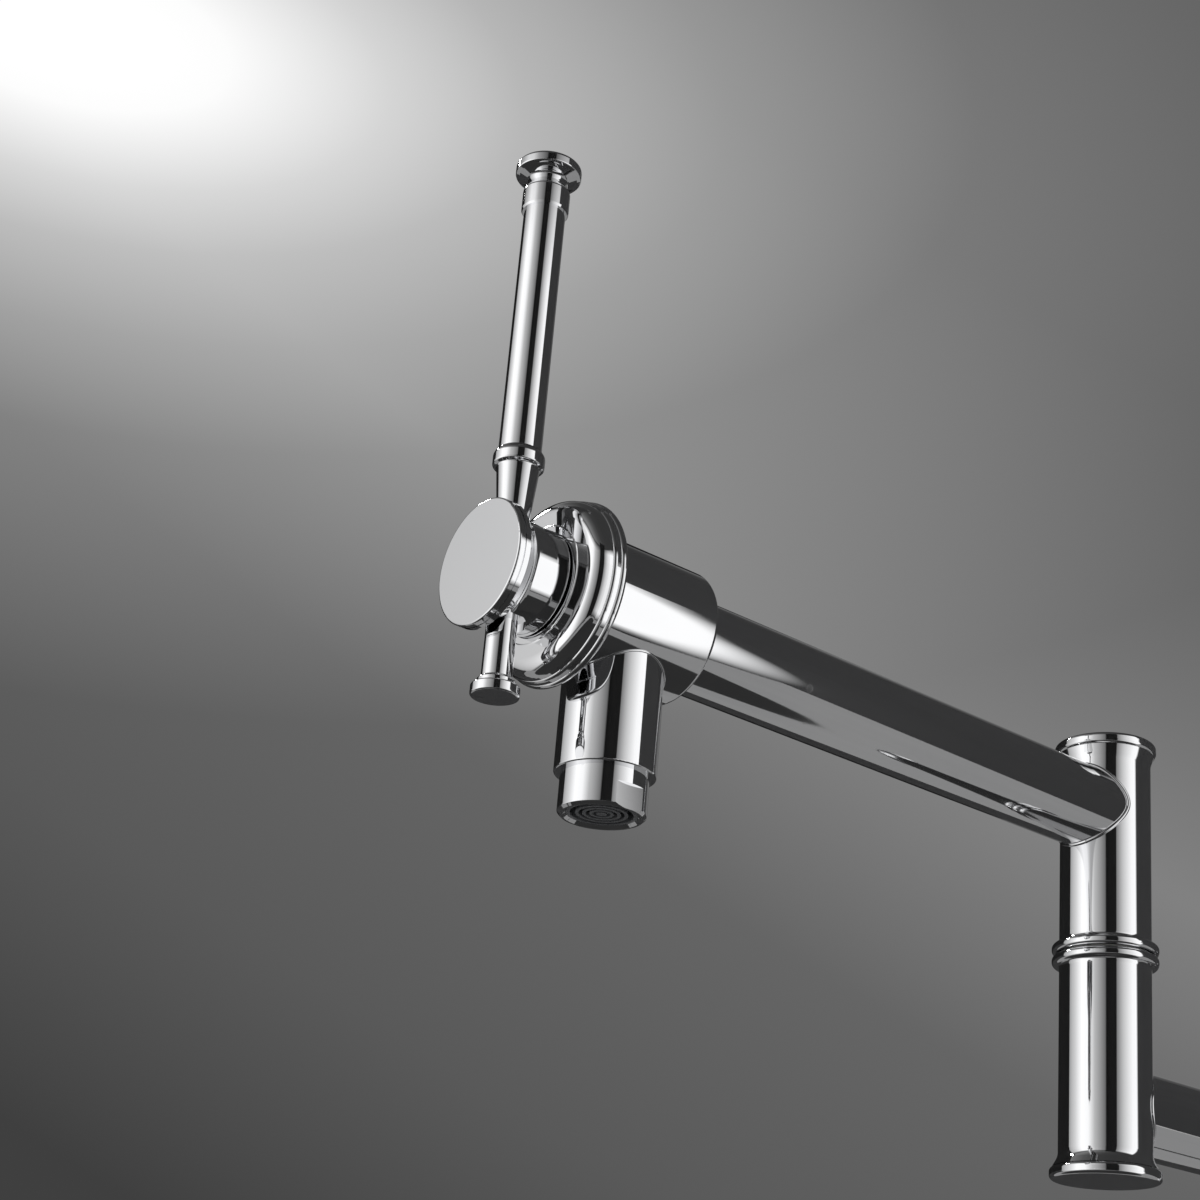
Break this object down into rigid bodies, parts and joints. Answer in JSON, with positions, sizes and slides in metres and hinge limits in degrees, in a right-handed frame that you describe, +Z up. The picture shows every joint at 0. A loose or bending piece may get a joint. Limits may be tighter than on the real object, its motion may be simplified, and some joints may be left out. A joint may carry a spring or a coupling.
{
  "type": "pot filler faucet",
  "caption": "Wall-mounted pot filler tap: two stacked swinging tube arms on beaded swivel posts, a lever valve at the wall and another at the downward spout.",
  "frame": {"origin": "centre of the wall flange's back, on the axis of the inlet thread", "axes": "+Y into the wall along the inlet thread, -Y out along the stretched arms, +Z up"},
  "size_m": [0.065, 0.5377, 0.3898],
  "materials": {
    "chrome": "polished chrome plate on brass",
    "brass": "bare machined brass inside",
    "steel": "stainless screws",
    "ceramic": "lapped white ceramic discs",
    "rubber": "black sealing rubber",
    "slip_plastic": "white slip washers",
    "jet_plastic": "dark grey aerator insert"
  },
  "bodies": {
    "wall_unit": {"wall_flange": "chrome", "flange_gasket": "rubber", "flange_grub_screw": "steel", "inlet_neck": "chrome", "inlet_shank": "brass", "wall_valve_body": "chrome", "wall_bonnet": "chrome", "wall_cartridge_housing": "brass", "wall_fixed_disc": "ceramic", "wall_cartridge_seal": "rubber", "wall_knuckle_spigot": "brass", "wall_knuckle_o_rings": "rubber", "wall_knuckle_slip_washers": "slip_plastic", "wall_knuckle_lock_nut": "brass"},
    "wall_handle": {"wall_moving_disc": "ceramic", "wall_spindle": "brass", "wall_spindle_ring": "rubber", "wall_handle_hub": "chrome", "wall_hub_screw": "steel", "wall_hub_cap": "chrome", "wall_lever_rod": "chrome", "wall_lever_knob": "chrome", "wall_lever_tail": "chrome"},
    "inner_arm": {"wall_knuckle_upper_sleeve": "chrome", "wall_knuckle_top_cap": "chrome", "wall_knuckle_top_cap_ring": "rubber", "inner_arm_tube": "chrome", "mid_knuckle_lower_sleeve": "chrome", "mid_knuckle_bottom_cap": "chrome", "mid_knuckle_bottom_cap_ring": "rubber", "mid_knuckle_spigot": "brass", "mid_knuckle_o_rings": "rubber", "mid_knuckle_slip_washers": "slip_plastic", "mid_knuckle_lock_nut": "brass"},
    "outer_arm": {"mid_knuckle_upper_sleeve": "chrome", "mid_knuckle_top_cap": "chrome", "mid_knuckle_top_cap_ring": "rubber", "outer_arm_tube": "chrome", "outlet_valve_body": "chrome", "outlet_bonnet": "chrome", "outlet_cartridge_housing": "brass", "outlet_fixed_disc": "ceramic", "outlet_cartridge_seal": "rubber", "aerator_housing": "chrome", "aerator_insert": "jet_plastic", "aerator_washer": "rubber"},
    "outlet_handle": {"outlet_moving_disc": "ceramic", "outlet_spindle": "brass", "outlet_spindle_ring": "rubber", "outlet_handle_hub": "chrome", "outlet_hub_screw": "steel", "outlet_hub_cap": "chrome", "outlet_lever_rod": "chrome", "outlet_lever_knob": "chrome", "outlet_lever_tail": "chrome"}
  },
  "joints": [
    {"name": "wall_handle_turn", "type": "hinge", "parent": "wall_unit", "child": "wall_handle", "pos_m": [0, -0.062, 0], "axis": [0, 1, 0], "range_deg": [0, 90]},
    {"name": "inner_arm_swing", "type": "hinge", "parent": "wall_unit", "child": "inner_arm", "pos_m": [0, -0.062, 0.0425], "axis": [0, 0, 1], "range_deg": [-90, 90]},
    {"name": "outer_arm_swing", "type": "hinge", "parent": "inner_arm", "child": "outer_arm", "pos_m": [0, -0.282, 0.1275], "axis": [0, 0, 1], "range_deg": [-180, 180]},
    {"name": "outlet_handle_turn", "type": "hinge", "parent": "outer_arm", "child": "outlet_handle", "pos_m": [0, -0.468, 0.17], "axis": [0, 1, 0], "range_deg": [0, 90]}
  ]
}
